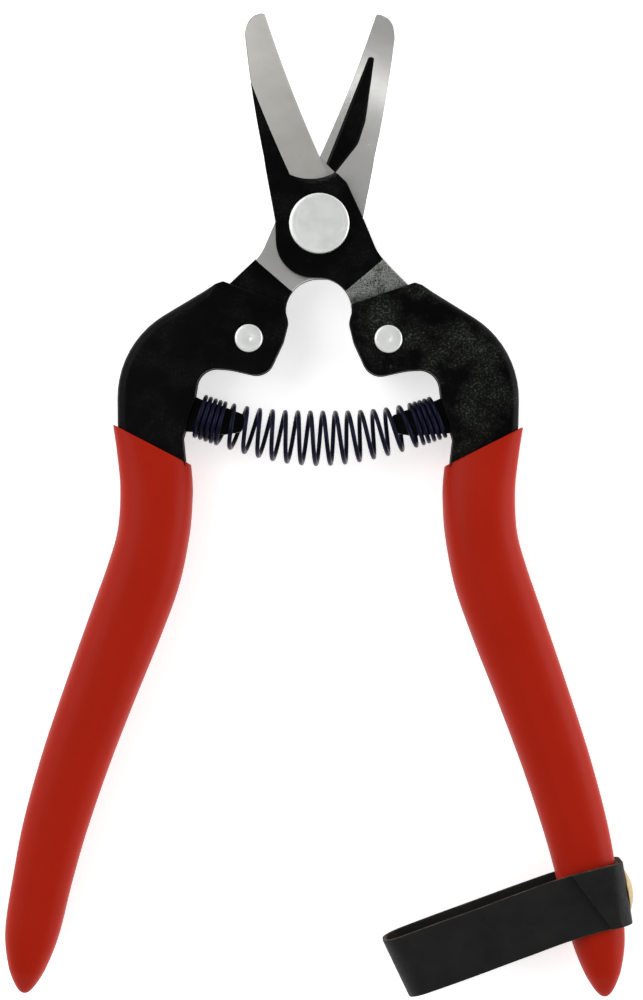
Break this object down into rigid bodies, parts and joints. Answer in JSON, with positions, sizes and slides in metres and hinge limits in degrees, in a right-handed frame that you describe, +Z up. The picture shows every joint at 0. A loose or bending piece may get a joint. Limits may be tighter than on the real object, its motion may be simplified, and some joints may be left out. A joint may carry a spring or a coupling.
{
  "type": "floral snips",
  "caption": "Spring-opened hand snips with two short curved blades on a pivot rivet, pressed channel handles with soft grips, and a leather closing strap.",
  "frame": {"origin": "centre of the bounding box, on the surface the snips lie on", "axes": "+Y towards the blade tips, +Z up out of the face that carries the wide rivet head, +X towards the handle that carries the strap"},
  "size_m": [0.1131, 0.1759, 0.0124],
  "materials": {
    "blade_steel": "ground, with a black oxide coat where it is not ground",
    "rivet_steel": "satin",
    "black_steel": "black oxide, slightly glossy",
    "spring_steel": "blue-black oiled wire",
    "red_vinyl": "smooth, soft sheen",
    "black_leather": "smooth grain, raw cut edges",
    "brass": "polished dome"
  },
  "bodies": {
    "left_half": {"back_blade": "blade_steel", "pivot_rivet": "rivet_steel", "pivot_washer": "rivet_steel", "left_channel": "black_steel", "left_tang_rivet": "rivet_steel", "left_spring_horn": "black_steel", "return_spring": "spring_steel", "left_grip": "red_vinyl"},
    "right_half": {"front_blade": "blade_steel", "right_channel": "black_steel", "right_tang_rivet": "rivet_steel", "right_spring_horn": "black_steel", "right_grip": "red_vinyl", "strap_anchor": "black_leather", "strap_rivet": "brass"},
    "strap": {"strap_loop": "black_leather"}
  },
  "joints": [
    {"name": "blade_pivot", "type": "hinge", "parent": "left_half", "child": "right_half", "pos_m": [0, 0.0507, 0.0062], "axis": [0, 0, -1], "range_deg": [0, 32], "stiffness_Nm_per_rad": 1, "springref_deg": -17.19, "deforming": ["return_spring", "strap_loop"]},
    {"name": "strap_swing", "type": "hinge", "parent": "right_half", "child": "strap", "pos_m": [0.04675, -0.07053, 0.0062], "axis": [0, 0, 1], "range_deg": [-8, 40], "stiffness_Nm_per_rad": 0.01}
  ]
}
